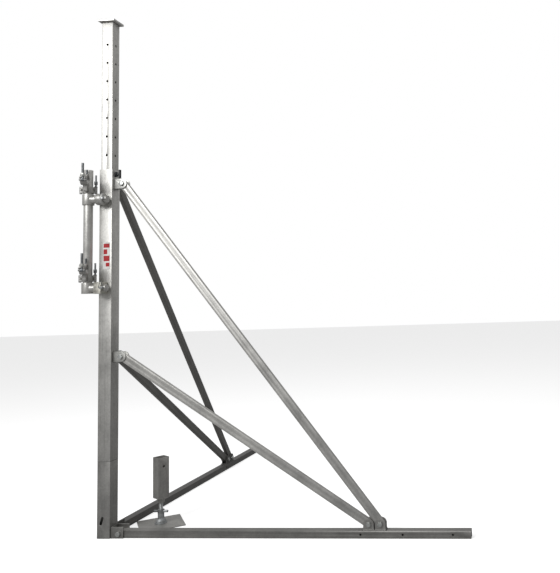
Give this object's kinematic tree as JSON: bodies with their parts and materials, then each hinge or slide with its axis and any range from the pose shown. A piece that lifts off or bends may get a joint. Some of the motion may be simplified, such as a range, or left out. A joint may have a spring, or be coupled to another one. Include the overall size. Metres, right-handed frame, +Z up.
{
  "type": "braced telescopic mast",
  "caption": "Square telescopic steel mast held upright by two braced floor legs, with a side tube carrying pipe couplers and a loose screw jack.",
  "frame": {"origin": "middle of the open foot of the outer mast, on the floor", "axes": "+Z up the mast, +X along the front leg, +Y along the rear leg"},
  "size_m": [2.182, 2.2474, 2.975],
  "materials": {
    "galvanised_mast": "matt galvanised",
    "galvanised_inner": "matt galvanised",
    "galvanised_front_brace": "matt galvanised",
    "galvanised_rear_brace": "matt galvanised",
    "galvanised_rail": "matt galvanised",
    "welded_bracket": "matt galvanised",
    "welded_lug": "matt galvanised",
    "galvanised_tube": "matt galvanised",
    "yellow_zinc": "satin",
    "zinc_socket": "satin",
    "forged_coupler": "matt galvanised",
    "dark_steel": "matt galvanised",
    "jack_plate": "matt galvanised",
    "jack_casting": "matt galvanised",
    "bright_thread": "satin",
    "zinc_fastener": "satin"
  },
  "bodies": {
    "frame": {"mast_outer_tube": "galvanised_mast", "mast_foot_tube": "galvanised_mast", "lock_pin_boss": "dark_steel", "front_upper_lug": "welded_lug", "front_lower_lug": "welded_lug", "rear_upper_lug": "welded_lug", "rear_lower_lug": "welded_lug", "front_foot_bracket": "welded_bracket", "rear_foot_bracket": "welded_bracket", "front_rail": "galvanised_rail", "rear_rail": "galvanised_rail", "front_rail_bracket": "welded_bracket", "rear_rail_bracket": "welded_bracket", "front_upper_brace": "galvanised_front_brace", "front_lower_brace": "galvanised_front_brace", "rear_upper_brace": "galvanised_rear_brace", "rear_lower_brace": "galvanised_rear_brace", "mast_lug_bolts": "zinc_fastener", "mast_lug_nuts": "zinc_fastener", "rail_bracket_bolts": "zinc_fastener", "rail_bracket_nuts": "zinc_fastener", "foot_bolts": "zinc_fastener", "foot_nuts": "zinc_fastener", "upper_spigot_socket": "zinc_socket", "lower_spigot_socket": "yellow_zinc", "upper_spigot_sleeve": "zinc_socket", "lower_spigot_sleeve": "zinc_socket"},
    "lock_pin_body": {"lock_pin": "bright_thread", "lock_pin_handle": "dark_steel"},
    "inner_mast": {"mast_inner_tube": "galvanised_inner", "head_plate": "galvanised_inner"},
    "tube": {"side_tube": "galvanised_tube"},
    "upper_linch_pin_body": {"upper_linch_pin": "zinc_fastener"},
    "lower_linch_pin_body": {"lower_linch_pin": "zinc_fastener"},
    "upper_linch_ring_body": {"upper_linch_ring": "zinc_fastener"},
    "lower_linch_ring_body": {"lower_linch_ring": "zinc_fastener"},
    "upper_coupler": {"upper_coupler_body": "forged_coupler", "upper_collar_flap": "forged_coupler", "upper_cradle_cap": "forged_coupler", "upper_coupler_pins": "zinc_fastener", "upper_cap_stud": "zinc_fastener"},
    "upper_stud_nut_body": {"upper_stud_nut": "zinc_fastener"},
    "upper_swing_bolt_body": {"upper_swing_bolt": "zinc_fastener"},
    "upper_swing_nut_body": {"upper_swing_nut": "zinc_fastener"},
    "upper_drop_pin_body": {"upper_drop_pin": "zinc_fastener"},
    "lower_coupler": {"lower_coupler_body": "forged_coupler", "lower_collar_flap": "forged_coupler", "lower_cradle_cap": "forged_coupler", "lower_coupler_pins": "zinc_fastener", "lower_cap_stud": "zinc_fastener"},
    "lower_stud_nut_body": {"lower_stud_nut": "zinc_fastener"},
    "lower_swing_bolt_body": {"lower_swing_bolt": "zinc_fastener"},
    "lower_swing_nut_body": {"lower_swing_nut": "zinc_fastener"},
    "lower_drop_pin_body": {"lower_drop_pin": "zinc_fastener"},
    "jack_base": {"jack_base_plate": "jack_plate", "jack_hub": "jack_casting"},
    "jack_screw": {"jack_spindle": "bright_thread", "jack_handles": "jack_casting"},
    "jack_head": {"jack_nut": "jack_plate", "jack_stub": "jack_plate"}
  },
  "joints": [
    {"name": "inner_mast_slide", "type": "slide", "parent": "frame", "child": "inner_mast", "axis": [0, 0, 1], "range_m": [-0.77, 0.55]},
    {"name": "lock_pin_push", "type": "slide", "parent": "frame", "child": "lock_pin_body", "axis": [-1, 0, 0], "range_m": [0, 0.011]},
    {"name": "side_tube_turn", "type": "hinge", "parent": "frame", "child": "tube", "pos_m": [-0.084, -0.0705, 1.7], "axis": [0, 0, 1], "range_deg": [-190, 60]},
    {"name": "upper_coupler_slide", "type": "slide", "parent": "tube", "child": "upper_coupler", "axis": [0, 0, 1], "range_m": [-0.002, 0.085]},
    {"name": "upper_swing_bolt_hinge", "type": "hinge", "parent": "upper_coupler", "child": "upper_swing_bolt_body", "pos_m": [-0.0445, -0.17903, 1.998], "axis": [0.9397, 0.342, 0], "range_deg": [0, 85]},
    {"name": "upper_swing_nut_spin", "type": "hinge", "parent": "upper_swing_bolt_body", "child": "upper_swing_nut_body", "pos_m": [-0.0445, -0.17903, 2.025], "axis": [0, 0, 1], "continuous": true},
    {"name": "upper_stud_nut_spin", "type": "hinge", "parent": "upper_coupler", "child": "upper_stud_nut_body", "pos_m": [-0.07179, -0.10403, 2.02], "axis": [0, 0, 1], "continuous": true},
    {"name": "upper_drop_pin_lift", "type": "slide", "parent": "upper_coupler", "child": "upper_drop_pin_body", "axis": [0, 0, 1], "range_m": [0, 0.045]},
    {"name": "upper_linch_pin_pull", "type": "slide", "parent": "frame", "child": "upper_linch_pin_body", "axis": [0, -1, 0], "range_m": [0, 0.062]},
    {"name": "upper_linch_ring_swing", "type": "hinge", "parent": "upper_linch_pin_body", "child": "upper_linch_ring_body", "pos_m": [0.023, -0.111, 1.9], "axis": [1, 0, 0], "range_deg": [0, 150]},
    {"name": "lower_coupler_slide", "type": "slide", "parent": "tube", "child": "lower_coupler", "axis": [0, 0, 1], "range_m": [-0.002, 0.28]},
    {"name": "lower_swing_bolt_hinge", "type": "hinge", "parent": "lower_coupler", "child": "lower_swing_bolt_body", "pos_m": [-0.0445, -0.17903, 1.491], "axis": [0.9397, 0.342, 0], "range_deg": [0, 85]},
    {"name": "lower_swing_nut_spin", "type": "hinge", "parent": "lower_swing_bolt_body", "child": "lower_swing_nut_body", "pos_m": [-0.0445, -0.17903, 1.518], "axis": [0, 0, 1], "continuous": true},
    {"name": "lower_stud_nut_spin", "type": "hinge", "parent": "lower_coupler", "child": "lower_stud_nut_body", "pos_m": [-0.07179, -0.10403, 1.513], "axis": [0, 0, 1], "continuous": true},
    {"name": "lower_drop_pin_lift", "type": "slide", "parent": "lower_coupler", "child": "lower_drop_pin_body", "axis": [0, 0, 1], "range_m": [0, 0.045]},
    {"name": "lower_linch_pin_pull", "type": "slide", "parent": "frame", "child": "lower_linch_pin_body", "axis": [0, -1, 0], "range_m": [0, 0.062]},
    {"name": "lower_linch_ring_swing", "type": "hinge", "parent": "lower_linch_pin_body", "child": "lower_linch_ring_body", "pos_m": [0.023, -0.111, 1.393], "axis": [1, 0, 0], "range_deg": [0, 150]},
    {"name": "jack_lift_off", "type": "slide", "parent": "frame", "child": "jack_base", "axis": [0, 0, 1], "range_m": [0, 0.4]},
    {"name": "jack_screw_turn", "type": "hinge", "parent": "jack_base", "child": "jack_screw", "pos_m": [0.19762, 0.21062, 0.08], "axis": [0, 0, 1], "range_deg": [-1800, 3600]},
    {"name": "jack_head_rise", "type": "slide", "parent": "jack_base", "child": "jack_head", "axis": [0, 0, 1], "range_m": [-0.031, 0.061]}
  ],
  "couplings": [
    {"joint": "jack_head_rise", "follows": "jack_screw_turn", "m_per_rad": 0.00095493}
  ]
}
